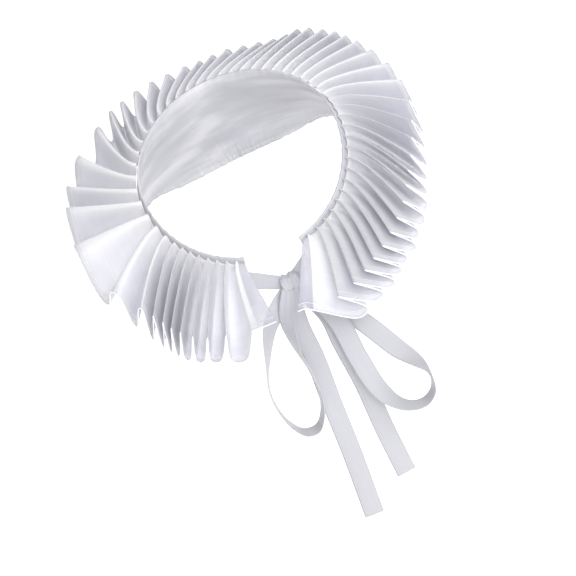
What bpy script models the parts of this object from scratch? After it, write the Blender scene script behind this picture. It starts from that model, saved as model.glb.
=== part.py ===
"""Ruff collar with a satin neckband, a pleated organza ruffle and a ribbon bow.

The collar keeps the form it has when it is worn. The neckband stands round the neck and is open
at the front, where two ribbons tie it. The ruffle is one long strip. It is folded in deep pleats,
and their folds are sewn to the outside of the neckband, just under its top edge.

The origin is the middle of the neck opening. +Z is up, the front of the collar faces -Y, and +X is
on the right of someone who faces the wearer. Angles round the neck are in degrees from the back of
the neck, clockwise from above: 90 is at +X, and 180 is at the front.
"""

import math
from collections import namedtuple

import bmesh
import bpy
import numpy as np
from mathutils import Vector

MM = 0.001
SEAM_GAP = 0.3 * MM

# The neckband's top edge is an egg-shaped ring that slopes down to the front.
NECK_HALF_WIDTH = 65 * MM
NECK_DEPTH_BACK = 63 * MM
NECK_DEPTH_FRONT = 75.5 * MM
NECK_TILT = math.radians(32)

# The neckband is a shaped strip, highest at the back of the neck. Its lower edge leans in toward
# the neck at the back, and out over the shoulders at the sides.
BAND_WALL = 1.2 * MM
BAND_LEFT_END = -158.0
BAND_RIGHT_END = 170.0
BAND_STEP = 4.0
BAND_ROWS = 6
BandRow = namedtuple("BandRow", "angle height inward_lean")
BAND_TABLE = [
    BandRow(-22, 57.5, 26),
    BandRow(0, 57, 32),
    BandRow(22, 57.5, 26),
    BandRow(45, 58, 8),
    BandRow(60, 51, -6),
    BandRow(90, 43, -25),
    BandRow(135, 38, -25),
    BandRow(180, 34, -25),
]

# The ruffle is a strip of one width, folded in equal pleats.
PLEATS = 52
RUFFLE_WIDTH = 50.5 * MM
RUFFLE_WALL = 1.0 * MM
RUFFLE_BELOW_EDGE = 1.5 * MM
RUFFLE_END_SETBACK = 1.5
SEAM_SLACK = 0.15 * MM
SEAM_STAND = 7.0 * MM
SEAM_LAY = 2.0 * MM
SEAM_STRAIGHT = 0.2
ROWS_OUT = (0.0, 0.14, 0.4, 0.7, 1.0)
UNEVEN_SEED = 7
UNEVEN_SWIRL = 1.0
UNEVEN_DEPTH = 0.07

# How far along a pleat's pitch each point of a fold is, and how high: 1 is on the upper fold and
# -1 on the lower one.
FoldPoint = namedtuple("FoldPoint", "share height")
FOLD = [
    FoldPoint(0.0, -1.0),
    FoldPoint(0.2, -0.88),
    FoldPoint(0.25, 0.0),
    FoldPoint(0.3, 0.88),
    FoldPoint(0.5, 1.0),
    FoldPoint(0.7, 0.88),
    FoldPoint(0.75, 0.0),
    FoldPoint(0.8, -0.88),
]

# How many degrees of the neckband a pleat takes, where its upper fold points, and where its lower
# fold is from the upper one at the hem. Swirl turns a fold clockwise from straight out, and lift
# raises it above the ring, in degrees. Lay is how far the lower fold lies over, counterclockwise,
# stand is how far it is below, and flare how much farther out it reaches, in millimetres.
RuffleRow = namedtuple("RuffleRow", "angle pitch swirl lift lay stand flare")
RUFFLE_TABLE = [
    RuffleRow(-157, 5.1, -22, -1, -9, 29, 0),
    RuffleRow(-153, 5.1, -17, -3, -9, 29, 0),
    RuffleRow(-148, 5.1, -11, -6, -9, 29, 0),
    RuffleRow(-141, 5.1, -9, -12, -9, 29, 0),
    RuffleRow(-122, 5.3, -22, -6, -6, 30, 0),
    RuffleRow(-112, 7.4, -29, -2, -6, 29, 0),
    RuffleRow(-104, 8.4, -18, -2, -3, 28, 0),
    RuffleRow(-97, 9, 12, -4, 0, 26, 2),
    RuffleRow(-89, 9, 25, -4, 1, 26, 2),
    RuffleRow(-76, 8.6, 29, -10, 1, 26, 3),
    RuffleRow(-66, 8, 44, -12, 1, 27, 4),
    RuffleRow(-55, 7.2, 48, -15, 1, 28, 5),
    RuffleRow(-42, 6.5, 45, -22, 1, 28, 8),
    RuffleRow(-22, 6.5, 47, -28, 3, 28, 8),
    RuffleRow(0, 6.5, 42, -30, 6, 28, 8),
    RuffleRow(15, 6.5, 38, -29, 6, 28, 8),
    RuffleRow(30, 6.3, 25, -22, 6, 28, 6),
    RuffleRow(45, 6.1, 17, -20, 5, 29, 6),
    RuffleRow(60, 6, 9, -20, 3, 29, 4),
    RuffleRow(70, 6, 14, -18, 2, 29, 0),
    RuffleRow(80, 6, 31, -10, 2, 29, 0),
    RuffleRow(93, 6, 43, -3, 4, 29, 0),
    RuffleRow(110, 6, 45, 0, 8, 28, 0),
    RuffleRow(125, 6, 42, -2, 11, 26, 0),
    RuffleRow(140, 6, 37, -1, 14, 24, 0),
    RuffleRow(156, 6, 31, -4, 16, 20, 0),
    RuffleRow(169, 6, 33, -14, 17, 17, 0),
]

# At each front edge the raw end of the strip lies nearly flat instead of in a lower fold.
RawEnd = namedtuple("RawEnd", "lay stand")
LEFT_RAW_END = RawEnd(6.5, -6)
RIGHT_RAW_END = RawEnd(-7, -12)

# The ribbons have one width, gathered where they come out of the knot. A row of a ribbon's table is
# a place on its middle line, in millimetres to the right, in front of and below the origin. Turn is
# how far the ribbon is turned from facing the front, and share is how much of its width is open.
RIBBON_WIDTH = 12.4 * MM
RIBBON_WALL = 1.0 * MM
RIBBON_STEP = 5.0 * MM
LEAD_BELOW_EDGE = 17 * MM
LEAD_STEPS = 4
KNOT_CENTRE = Vector((-5.2, -62.0, -63.4)) * MM
KNOT_SIZE = Vector((12.0, 9.0, 10.6)) * MM
KNOT_ROUND = 3.0 * MM
Place = namedtuple("Place", "right front below turn share")
TAIL_LEFT = [
    Place(-7, 63.6, 69.6, 0, 0.55),
    Place(-9.5, 64.5, 78, 5, 0.8),
    Place(-12, 65.5, 93.5, 5, 1),
    Place(-12.1, 66.5, 115.1, 0, 1),
    Place(-14.8, 67.5, 147.9, -5, 1),
    Place(-17.2, 69, 184, -5, 1),
    Place(-21.6, 72, 229.7, 0, 1),
]
TAIL_RIGHT = [
    Place(-2.5, 58.8, 69.6, 0, 0.55),
    Place(3.3, 59, 84, 10, 0.9),
    Place(7, 60, 96.5, 10, 1),
    Place(7.2, 61.5, 116, 0, 1),
    Place(8.5, 63.5, 147.3, 0, 1),
    Place(7.7, 65.5, 180.4, 5, 1),
    Place(8.1, 68, 214.9, 5, 1),
]
LOOP_LEFT = [
    Place(-9.2, 60.4, 70.6, 0, 0.45),
    Place(-12.5, 60.8, 74, 5, 0.6),
    Place(-20.5, 62.5, 78.5, 10, 0.85),
    Place(-29.5, 65, 86, 35, 1),
    Place(-38.8, 69, 102.4, 65, 1),
    Place(-45.9, 72, 119, 82, 1),
    Place(-46.7, 74, 132.1, 88, 1),
    Place(-43.4, 76, 146, 90, 1),
    Place(-37, 77, 154.5, 90, 1),
    Place(-29.6, 77.5, 155, 90, 1),
    Place(-23, 77.5, 147.5, 90, 1),
    Place(-18.9, 76.5, 134.8, 88, 1),
    Place(-18.3, 75, 119.9, 84, 1),
    Place(-19.6, 72.5, 101.9, 74, 1),
    Place(-17.4, 68.5, 84, 45, 0.8),
    Place(-11.5, 65.2, 69.6, 0, 0.5),
]
LOOP_RIGHT = [
    Place(-4.2, 62, 70.6, 0, 0.5),
    Place(4.1, 63, 83, 5, 0.8),
    Place(10.5, 65.5, 99.1, 5, 1),
    Place(12.1, 69, 128, 5, 1),
    Place(15.5, 73, 152, 35, 1),
    Place(23, 75.5, 165.5, 70, 1),
    Place(31, 76.5, 170.8, 86, 1),
    Place(39, 77, 171, 90, 1),
    Place(45.8, 77, 165.5, 90, 1),
    Place(47.6, 76, 157, 84, 1),
    Place(44.6, 73.5, 147, 45, 1),
    Place(36.5, 70, 133.4, 8, 1),
    Place(25.2, 65, 110.7, 0, 1),
    Place(12.5, 61.5, 89.5, 0, 0.85),
    Place(4.2, 60.8, 77, 0, 0.6),
    Place(0.2, 60.4, 70.6, 0, 0.4),
]


def curve_value(xs, ys, at):
    """The value at a place, on a smooth curve through rising xs and their ys."""
    at = min(max(at, xs[0]), xs[-1])
    i = min(max(int(np.searchsorted(xs, at)) - 1, 0), len(xs) - 2)
    step = xs[i + 1] - xs[i]
    rise = (ys[i + 1] - ys[i]) / step
    before = (ys[i] - ys[i - 1]) / (xs[i] - xs[i - 1]) if i > 0 else rise
    after = (ys[i + 2] - ys[i + 1]) / (xs[i + 2] - xs[i + 1]) if i + 2 < len(xs) else rise
    slope_in = 0.5 * (before + rise)
    slope_out = 0.5 * (rise + after)
    t = (at - xs[i]) / step
    return (
        ys[i] * (1 + 2 * t) * (1 - t) ** 2
        + ys[i + 1] * t * t * (3 - 2 * t)
        + step * (slope_in * t * (1 - t) ** 2 + slope_out * t * t * (t - 1))
    )


def table_value(table, column, angle):
    """The value of a table's column at an angle round the neck."""
    return curve_value([row.angle for row in table], [getattr(row, column) for row in table], angle)


def neck_point(angle):
    """A point of the neckband's top edge."""
    a = math.radians(angle)
    depth = NECK_DEPTH_BACK if math.cos(a) > 0 else NECK_DEPTH_FRONT
    along = depth * math.cos(a)
    return Vector((NECK_HALF_WIDTH * math.sin(a), along * math.cos(NECK_TILT), along * math.sin(NECK_TILT)))


def ring_axes(angle):
    """The clockwise, outward and downward directions of the ring at an angle."""
    down = Vector((0, math.sin(NECK_TILT), -math.cos(NECK_TILT)))
    clockwise = (neck_point(angle + 0.5) - neck_point(angle - 0.5)).normalized()
    return clockwise, clockwise.cross(down).normalized(), down


def band_fall(angle):
    """The direction in which the neckband's wall runs down from its top edge."""
    clockwise, outward, down = ring_axes(angle)
    lean = math.radians(table_value(BAND_TABLE, "inward_lean", abs(angle)))
    return down * math.cos(lean) - outward * math.sin(lean)


def band_outside(angle):
    """The direction that faces straight out from the neckband's wall."""
    return ring_axes(angle)[0].cross(band_fall(angle)).normalized()


def band_point(angle, below):
    """A point of the neckband's middle surface, some way below its top edge."""
    return neck_point(angle) + band_fall(angle) * below


def sheet_object(name, rows, wall, material, collection):
    """An object with one surface through rows of points, given a wall of even thickness."""
    shell = bmesh.new()
    lattice = [[shell.verts.new(point) for point in row] for row in rows]
    for low, high in zip(lattice, lattice[1:]):
        for a, b, c, d in zip(low, low[1:], high[1:], high):
            shell.faces.new((a, b, c, d))
    mesh = bpy.data.meshes.new(name)
    shell.to_mesh(mesh)
    shell.free()
    mesh.shade_smooth()
    mesh.materials.append(material)
    thing = bpy.data.objects.new(name, mesh)
    collection.objects.link(thing)
    solid = thing.modifiers.new("Wall", "SOLIDIFY")
    solid.thickness = wall
    solid.offset = 0.0
    return thing


def make_neckband(material, collection):
    """The strip of satin that stands round the neck."""
    columns = round((BAND_RIGHT_END - BAND_LEFT_END) / BAND_STEP) + 1
    angles = np.linspace(BAND_LEFT_END, BAND_RIGHT_END, columns)
    heights = [table_value(BAND_TABLE, "height", abs(angle)) * MM for angle in angles]
    rows = [
        [band_point(angle, height * row / BAND_ROWS) for angle, height in zip(angles, heights)]
        for row in range(BAND_ROWS + 1)
    ]
    sheet_object("neckband", rows, BAND_WALL, material, collection)


def ruffle_point(angle, height, out, uneven_swirl, uneven_depth, raw_end):
    """A point of the ruffle's middle surface, at an angle, a height of its fold and a share of its width."""
    lower = (1 - height) / 2
    lay_angle = math.degrees(SEAM_LAY * lower / NECK_HALF_WIDTH)
    seam_angle = angle - lay_angle
    clearance = BAND_WALL / 2 + SEAM_GAP + SEAM_SLACK
    seat = band_point(seam_angle, RUFFLE_BELOW_EDGE + SEAM_STAND * lower)
    seat += band_outside(seam_angle) * clearance

    clockwise, outward, down = ring_axes(angle)
    swirl = math.radians(table_value(RUFFLE_TABLE, "swirl", angle) + uneven_swirl)
    lift = math.radians(table_value(RUFFLE_TABLE, "lift", angle))
    level = outward * math.cos(swirl) + clockwise * math.sin(swirl)
    reach = level * math.cos(lift) - down * math.sin(lift)
    side = outward * math.sin(swirl) - clockwise * math.cos(swirl)
    elbow = band_outside(seam_angle) * (SEAM_STRAIGHT * RUFFLE_WIDTH)
    run = elbow * (2 * out * (1 - out)) + reach * (RUFFLE_WIDTH * out * out)

    lay, stand, flare = (table_value(RUFFLE_TABLE, column, angle) * MM for column in ("lay", "stand", "flare"))
    if raw_end:
        lay, stand, flare = raw_end.lay * MM, raw_end.stand * MM, 0.0
    fold = side * lay + down * stand + level * flare
    return seat + run + fold * (uneven_depth * lower * out)


def make_ruffle(material, collection):
    """The pleated strip, from the left front end of the neckband round the back to the right one."""
    edges = [BAND_LEFT_END + RUFFLE_END_SETBACK]
    for pleat in range(PLEATS):
        edges.append(edges[-1] + table_value(RUFFLE_TABLE, "pitch", edges[-1]))
    edges = np.interp(edges, (edges[0], edges[-1]), (edges[0], BAND_RIGHT_END - RUFFLE_END_SETBACK))
    chance = np.random.RandomState(UNEVEN_SEED)
    swirls = chance.uniform(-UNEVEN_SWIRL, UNEVEN_SWIRL, PLEATS + 1)
    depths = 1 + chance.uniform(-UNEVEN_DEPTH, UNEVEN_DEPTH, PLEATS + 1)
    columns = [(pleat + point.share, point.height) for pleat in range(PLEATS) for point in FOLD]
    columns.append((PLEATS, FOLD[0].height))
    rows = []
    for out in ROWS_OUT:
        row = []
        for place, height in columns:
            swirl = float(np.interp(place, range(PLEATS + 1), swirls))
            depth = float(np.interp(place, range(PLEATS + 1), depths))
            angle = float(np.interp(place, range(PLEATS + 1), edges))
            raw_end = LEFT_RAW_END if place < 0.5 else RIGHT_RAW_END if place > PLEATS - 0.5 else None
            row.append(ruffle_point(angle, height, out, swirl, depth, raw_end))
        rows.append(row)
    sheet_object("ruffle", rows, RUFFLE_WALL, material, collection)


def make_lead(name, angle, toward_gap, material, collection):
    """A ribbon from one front end of the neckband to the side of the knot."""
    to_knot = ring_axes(angle)[0] * toward_gap
    clearance = to_knot * (SEAM_GAP + RIBBON_WALL / 2)
    band_edge = [band_point(angle, LEAD_BELOW_EDGE + RIBBON_WIDTH * share) + clearance for share in (-0.5, 0.5)]
    knot_side = KNOT_CENTRE + Vector((toward_gap * (KNOT_SIZE.x / 2 + SEAM_GAP), 0, 0))
    knot_edge = [knot_side + Vector((0, 0, KNOT_SIZE.z * share)) for share in (0.3, -0.3)]
    rows = []
    for step in range(LEAD_STEPS + 1):
        share = step / LEAD_STEPS
        rows.append([start.lerp(end, share) for start, end in zip(band_edge, knot_edge)])
    sheet_object(name, rows, RIBBON_WALL, material, collection)


def make_ribbon(name, places, material, collection):
    """A ribbon along a smooth line through its places."""
    points = [Vector((place.right, -place.front, -place.below)) * MM for place in places]
    gaps = [(b - a).length for a, b in zip(points, points[1:])]
    ends = [0.0, *np.cumsum(gaps)]
    count = max(round(ends[-1] / RIBBON_STEP), len(places))

    def middle(at):
        return Vector([curve_value(ends, [point[axis] for point in points], at) for axis in range(3)])

    rows = []
    for at in np.linspace(0, ends[-1], count + 1):
        step = RIBBON_STEP / 4
        along = (middle(min(at + step, ends[-1])) - middle(max(at - step, 0))).normalized()
        level = along.cross(Vector((0, -1, 0))).normalized()
        turn = math.radians(curve_value(ends, [place.turn for place in places], at))
        width = curve_value(ends, [place.share for place in places], at) * RIBBON_WIDTH
        half = (level * math.cos(turn) + level.cross(along) * math.sin(turn)) * (width / 2)
        rows.append([middle(at) - half, middle(at) + half])
    sheet_object(name, rows, RIBBON_WALL, material, collection)


def make_knot(material, collection):
    """The wrapped crossing of the bow."""
    shape = bmesh.new()
    bmesh.ops.create_cube(shape, size=1.0)
    bmesh.ops.scale(shape, vec=KNOT_SIZE, verts=shape.verts)
    bmesh.ops.translate(shape, vec=KNOT_CENTRE, verts=shape.verts)
    mesh = bpy.data.meshes.new("bow_knot")
    shape.to_mesh(mesh)
    shape.free()
    mesh.shade_smooth()
    mesh.materials.append(material)
    thing = bpy.data.objects.new("bow_knot", mesh)
    collection.objects.link(thing)
    rounded = thing.modifiers.new("Round", "BEVEL")
    rounded.width = KNOT_ROUND
    rounded.segments = 3


def collar_material(name, colour, roughness):
    material = bpy.data.materials.new(name)
    material.use_nodes = True
    shader = material.node_tree.nodes["Principled BSDF"]
    shader.inputs["Base Color"].default_value = (*colour, 1.0)
    shader.inputs["Roughness"].default_value = roughness
    shader.inputs["Metallic"].default_value = 0.0
    return material


def main():
    for old in list(bpy.data.objects):
        bpy.data.objects.remove(old)
    collection = bpy.data.collections.new("ruff_collar")
    bpy.context.scene.collection.children.link(collection)
    make_neckband(collar_material("band_satin", (0.84, 0.84, 0.87), 0.35), collection)
    make_ruffle(collar_material("ruffle_organza", (0.9, 0.9, 0.93), 0.6), collection)
    ribbon = collar_material("ribbon_satin", (0.86, 0.86, 0.89), 0.4)
    make_lead("lead_left", BAND_LEFT_END, -1, ribbon, collection)
    make_lead("lead_right", BAND_RIGHT_END, 1, ribbon, collection)
    make_knot(ribbon, collection)
    make_ribbon("loop_left", LOOP_LEFT, ribbon, collection)
    make_ribbon("loop_right", LOOP_RIGHT, ribbon, collection)
    make_ribbon("tail_left", TAIL_LEFT, ribbon, collection)
    make_ribbon("tail_right", TAIL_RIGHT, ribbon, collection)


main()
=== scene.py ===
"""The ruff collar, dressed: a satin neckband, a pleated organza ruffle and a ribbon bow.

Sizes are in metres. The origin is the middle of the neck opening, +Z is up and the front of the
collar faces -Y. Angles round the neck are in degrees from the back, clockwise from above.
"""

import math
from collections import namedtuple

import bmesh
import bpy
import numpy as np
from mathutils import Matrix, Vector


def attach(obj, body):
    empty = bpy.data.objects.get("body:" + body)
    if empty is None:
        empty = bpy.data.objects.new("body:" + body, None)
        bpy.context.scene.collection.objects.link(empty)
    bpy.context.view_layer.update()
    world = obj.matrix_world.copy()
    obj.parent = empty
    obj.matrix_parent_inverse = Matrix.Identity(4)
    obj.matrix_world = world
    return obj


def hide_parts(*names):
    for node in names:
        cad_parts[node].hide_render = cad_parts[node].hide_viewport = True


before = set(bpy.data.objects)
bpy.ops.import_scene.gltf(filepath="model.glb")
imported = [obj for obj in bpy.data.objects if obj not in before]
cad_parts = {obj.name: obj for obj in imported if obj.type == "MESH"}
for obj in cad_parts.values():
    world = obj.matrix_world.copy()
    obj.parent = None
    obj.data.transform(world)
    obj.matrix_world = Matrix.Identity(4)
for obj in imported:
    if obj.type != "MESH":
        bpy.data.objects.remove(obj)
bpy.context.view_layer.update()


# Neckband
# One shaped strip of doubled satin that stands round the neck. It is highest at the back, its lower
# edge is turned in and stitched, and the ruffle's folds are sewn to its outside under the top edge.

MM = 0.001
NECK_HALF_WIDTH = 65 * MM
NECK_DEPTH_BACK = 63 * MM
NECK_DEPTH_FRONT = 75.5 * MM
NECK_TILT = math.radians(32)
BAND_CLOTH = 0.9 * MM
BAND_LEFT_END = -158.0
BAND_RIGHT_END = 170.0
BAND_COLUMNS = 420
BAND_ROWS = 34
DIRECTION_STEP = 0.5

# How high the band is at an angle from the back, in millimetres, and how far it leans in toward the
# neck, in degrees. The first row is there to keep the curve level at the back.
BandRow = namedtuple("BandRow", "angle height inward_lean")
BAND_TABLE = [
    BandRow(-22, 57.5, 26),
    BandRow(0, 57, 32),
    BandRow(22, 57.5, 26),
    BandRow(45, 58, 8),
    BandRow(60, 51, -6),
    BandRow(90, 43, -25),
    BandRow(135, 38, -25),
    BandRow(180, 34, -25),
]

# Where the satin is crumpled: the middle of a soft ridge, how long and wide it is, how it is turned
# from level, and how far it stands in toward the neck, in millimetres and degrees.
Crumple = namedtuple("Crumple", "angle below length width turn rise")
CRUMPLES = [
    Crumple(-62, 9, 17, 2.6, 8, 1.8),
    Crumple(-55, 16, 14, 3.2, 14, 1.4),
    Crumple(-48, 6, 12, 2.2, -4, 1.9),
    Crumple(-40, 12, 20, 3.0, 6, 1.6),
    Crumple(-33, 5, 10, 2.0, 10, 1.8),
    Crumple(-26, 18, 24, 4.0, 3, 1.3),
    Crumple(-18, 8, 16, 2.4, -6, 1.4),
    Crumple(-12, 28, 26, 5.0, 4, 1.4),
    Crumple(-4, 14, 18, 3.0, 2, 1.3),
    Crumple(4, 36, 24, 4.0, -3, 1.4),
    Crumple(10, 22, 28, 4.4, 5, 1.3),
    Crumple(16, 9, 14, 2.6, 0, 1.1),
    Crumple(24, 34, 22, 4.2, -4, 1.4),
    Crumple(32, 17, 20, 3.6, 6, 1.1),
    Crumple(40, 44, 16, 3.2, -8, 1.4),
    Crumple(52, 28, 20, 4.0, -5, 1.1),
    Crumple(-50, 34, 20, 4.2, 10, 1.4),
    Crumple(-34, 44, 18, 3.6, 6, 1.6),
    Crumple(-20, 46, 14, 3.0, -5, 1.4),
    Crumple(-5, 50, 12, 2.6, 4, 1.3),
    Crumple(18, 50, 12, 2.8, -4, 1.3),
    Crumple(75, 20, 18, 4.0, 5, 1.0),
    Crumple(98, 24, 20, 4.0, -4, 1.0),
    Crumple(125, 18, 18, 3.6, 6, 1.0),
    Crumple(150, 20, 16, 3.6, -3, 1.0),
    Crumple(-80, 22, 18, 4.0, -5, 1.1),
    Crumple(-105, 18, 20, 4.0, 5, 1.0),
    Crumple(-135, 20, 18, 3.6, -4, 1.0),
]
CRUMPLE_FADE = 3

# The puckers along the band's lower and upper edges: how far they reach from the edge, how deep
# they are, and the lengths of their waves.
Pucker = namedtuple("Pucker", "reach depth waves seed")
LOWER_PUCKER = Pucker(6.5 * MM, 0.8 * MM, (7.1 * MM, 11.3 * MM, 4.7 * MM), 3)
UPPER_PUCKER = Pucker(3.25 * MM, 0.32 * MM, (7.5 * MM, 5.2 * MM), 4)


def curve_value(xs, ys, at):
    """The value at a place, on a smooth curve through rising xs and their ys."""
    at = min(max(at, xs[0]), xs[-1])
    i = min(max(int(np.searchsorted(xs, at)) - 1, 0), len(xs) - 2)
    step = xs[i + 1] - xs[i]
    rise = (ys[i + 1] - ys[i]) / step
    before = (ys[i] - ys[i - 1]) / (xs[i] - xs[i - 1]) if i > 0 else rise
    after = (ys[i + 2] - ys[i + 1]) / (xs[i + 2] - xs[i + 1]) if i + 2 < len(xs) else rise
    slope_in = 0.5 * (before + rise)
    slope_out = 0.5 * (rise + after)
    t = (at - xs[i]) / step
    return (
        ys[i] * (1 + 2 * t) * (1 - t) ** 2
        + ys[i + 1] * t * t * (3 - 2 * t)
        + step * (slope_in * t * (1 - t) ** 2 + slope_out * t * t * (t - 1))
    )


def table_value(table, column, angle):
    """The value of a table's column at an angle round the neck."""
    return curve_value([row.angle for row in table], [getattr(row, column) for row in table], angle)


def neck_point(angle):
    """A point of the neckband's top edge."""
    a = math.radians(angle)
    depth = NECK_DEPTH_BACK if math.cos(a) > 0 else NECK_DEPTH_FRONT
    along = depth * math.cos(a)
    return Vector((
        NECK_HALF_WIDTH * math.sin(a), along * math.cos(NECK_TILT), along * math.sin(NECK_TILT)))


def ring_axes(angle):
    """The clockwise, outward and downward directions of the ring at an angle."""
    down = Vector((0, math.sin(NECK_TILT), -math.cos(NECK_TILT)))
    ahead = neck_point(angle + DIRECTION_STEP) - neck_point(angle - DIRECTION_STEP)
    clockwise = ahead.normalized()
    return clockwise, clockwise.cross(down).normalized(), down


def band_fall(angle):
    """The direction in which the neckband's wall runs down from its top edge."""
    clockwise, outward, down = ring_axes(angle)
    lean = math.radians(table_value(BAND_TABLE, "inward_lean", abs(angle)))
    return down * math.cos(lean) - outward * math.sin(lean)


def band_outside(angle):
    """The direction that faces straight out from the neckband's wall."""
    return ring_axes(angle)[0].cross(band_fall(angle)).normalized()


def band_point(angle, below):
    """A point of the neckband's middle surface, some way below its top edge."""
    return neck_point(angle) + band_fall(angle) * below


def wave(place, lengths, seed):
    """A soft uneven wave between -1 and 1 along a place in metres, made of a few lengths."""
    shifts = np.random.RandomState(seed).uniform(0, 2 * math.pi, len(lengths))
    turns = (2 * math.pi * place / length + shift for length, shift in zip(lengths, shifts))
    return sum(math.sin(turn) for turn in turns) / len(lengths)


def band_inward(angle, below, height):
    """How far the satin stands in toward the neck, from its crumples and its puckered edges."""
    around = math.radians(angle) * NECK_HALF_WIDTH
    stand = 0.0
    for ridge in CRUMPLES:
        along = around - math.radians(ridge.angle) * NECK_HALF_WIDTH
        across = below - ridge.below * MM
        turn = math.radians(ridge.turn)
        level = (along * math.cos(turn) + across * math.sin(turn)) / (ridge.length * MM / 2)
        upright = (across * math.cos(turn) - along * math.sin(turn)) / (ridge.width * MM / 2)
        if abs(level) < CRUMPLE_FADE and abs(upright) < CRUMPLE_FADE:
            stand += ridge.rise * MM * math.exp(-level * level - upright * upright)
    for pucker, from_edge in ((LOWER_PUCKER, height - below), (UPPER_PUCKER, below)):
        swell = 1 + wave(around, pucker.waves, pucker.seed)
        stand += pucker.depth * math.exp(-from_edge / pucker.reach) * swell
    return stand


def cloth_object(name, rows, wall, material, uvs, fields=None):
    """A shell of cloth through rows of points, with a UV map in metres and its named fields."""
    columns = len(rows[0])
    verts = [point for row in rows for point in row]
    faces = []
    for r in range(len(rows) - 1):
        for c in range(columns - 1):
            a = r * columns + c
            faces.append((a, a + 1, a + 1 + columns, a + columns))
    mesh = bpy.data.meshes.new(name)
    mesh.from_pydata(verts, [], faces)
    layer = mesh.uv_layers.new(name="cloth")
    flat = [uv for row in uvs for uv in row]
    for loop in mesh.loops:
        layer.data[loop.index].uv = flat[loop.vertex_index]
    for field, values in (fields or {}).items():
        attribute = mesh.attributes.new(field, "FLOAT", "POINT")
        attribute.data.foreach_set("value", [value for row in values for value in row])
    mesh.shade_smooth()
    mesh.materials.append(material)
    thing = bpy.data.objects.new(name, mesh)
    bpy.context.scene.collection.objects.link(thing)
    solid = thing.modifiers.new("Cloth", "SOLIDIFY")
    solid.thickness = wall
    solid.offset = 0.0
    applied_mesh(thing)
    return thing


def applied_mesh(thing):
    """Turns a piece with modifiers into the plain mesh that they make."""
    graph = bpy.context.evaluated_depsgraph_get()
    plain = bpy.data.meshes.new_from_object(thing.evaluated_get(graph))
    thing.modifiers.clear()
    thing.data = plain
    plain.name = thing.name


def new_group(name, inputs, outputs):
    """An empty shader node group with named number inputs and outputs."""
    group = bpy.data.node_groups.new(name, "ShaderNodeTree")
    for label, value in inputs.items():
        socket = group.interface.new_socket(label, in_out="INPUT", socket_type="NodeSocketFloat")
        socket.default_value = value
    for label in outputs:
        group.interface.new_socket(label, in_out="OUTPUT", socket_type="NodeSocketFloat")
    return group


def node(tree, kind, **values):
    """A node with its properties set, and its inputs filled where a value's name is an input's."""
    made = tree.nodes.new(kind)
    for label, value in values.items():
        if label.startswith("in_"):
            key = label[3:]
            socket = made.inputs[int(key)] if key.isdigit() else made.inputs[key.replace("_", " ")]
            socket.default_value = value
        else:
            setattr(made, label, value)
    return made


def math_node(tree, operation, first, second):
    """A math node that takes sockets or numbers."""
    made = tree.nodes.new("ShaderNodeMath")
    made.operation = operation
    for slot, value in enumerate((first, second)):
        if isinstance(value, (int, float)):
            made.inputs[slot].default_value = value
        else:
            tree.links.new(value, made.inputs[slot])
    return made.outputs[0]


# The weave that every cloth here shares: crossing threads, and the long soft streaks of yarns that
# are a little thicker or paler than their neighbours. On the satin the streaks also carry painted
# sheen.
weave_group = new_group(
    "woven_cloth",
    {"Threads per metre": 2500.0, "Streak length": 30 * MM, "Streak width": 2 * MM},
    ("Threads", "Streaks"),
)
weave_in = weave_group.nodes.new("NodeGroupInput")
weave_out = weave_group.nodes.new("NodeGroupOutput")
cloth_uv = node(weave_group, "ShaderNodeUVMap", uv_map="cloth")
apart = weave_group.nodes.new("ShaderNodeSeparateXYZ")
link = weave_group.links.new
link(cloth_uv.outputs[0], apart.inputs[0])
yarns = []
for along in (apart.outputs[0], apart.outputs[1]):
    counted = math_node(weave_group, "MULTIPLY", along, weave_in.outputs["Threads per metre"])
    turns = math_node(weave_group, "MULTIPLY", counted, math.pi)
    yarns.append(math_node(weave_group, "SINE", turns, 0.0))
crossing = node(weave_group, "ShaderNodeMath", operation="MULTIPLY_ADD", in_1=0.5, in_2=0.5)
link(math_node(weave_group, "MULTIPLY", yarns[0], yarns[1]), crossing.inputs[0])
link(crossing.outputs[0], weave_out.inputs["Threads"])
stretched = weave_group.nodes.new("ShaderNodeCombineXYZ")
for axis, size in enumerate(("Streak length", "Streak width")):
    shrunk = math_node(weave_group, "DIVIDE", apart.outputs[axis], weave_in.outputs[size])
    link(shrunk, stretched.inputs[axis])
streak_noise = node(
    weave_group, "ShaderNodeTexNoise", noise_dimensions="2D", in_Scale=1.0, in_Detail=3.0)
link(stretched.outputs[0], streak_noise.inputs["Vector"])
link(streak_noise.outputs[0], weave_out.inputs["Streaks"])


def plain_material(name, colour, roughness, sheen=0.0):
    """A material with one shader. Returns it with its tree and shader."""
    material = bpy.data.materials.new(name)
    material.use_nodes = True
    tree = material.node_tree
    shader = tree.nodes["Principled BSDF"]
    shader.inputs["Base Color"].default_value = (*colour, 1.0)
    shader.inputs["Roughness"].default_value = roughness
    shader.inputs["Sheen Weight"].default_value = sheen
    return material, tree, shader


def cloth_material(name, colour, roughness, sheen, threads, streak_length, streak_width):
    """A material with the shared weave. Returns it with its tree, shader and weave node."""
    material, tree, shader = plain_material(name, colour, roughness, sheen)
    weave = tree.nodes.new("ShaderNodeGroup")
    weave.node_tree = weave_group
    weave.inputs["Threads per metre"].default_value = threads
    weave.inputs["Streak length"].default_value = streak_length
    weave.inputs["Streak width"].default_value = streak_width
    return material, tree, shader, weave


def colour_ramp(tree, source, stops):
    """A colour ramp from a source socket. Stops are (place, colour)."""
    ramp = tree.nodes.new("ShaderNodeValToRGB")
    while len(ramp.color_ramp.elements) > 1:
        ramp.color_ramp.elements.remove(ramp.color_ramp.elements[-1])
    ramp.color_ramp.elements[0].position = stops[0][0]
    ramp.color_ramp.elements[0].color = (*stops[0][1], 1.0)
    for place, colour in stops[1:]:
        ramp.color_ramp.elements.new(place).color = (*colour, 1.0)
    tree.links.new(source, ramp.inputs[0])
    return ramp.outputs[0]


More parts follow.
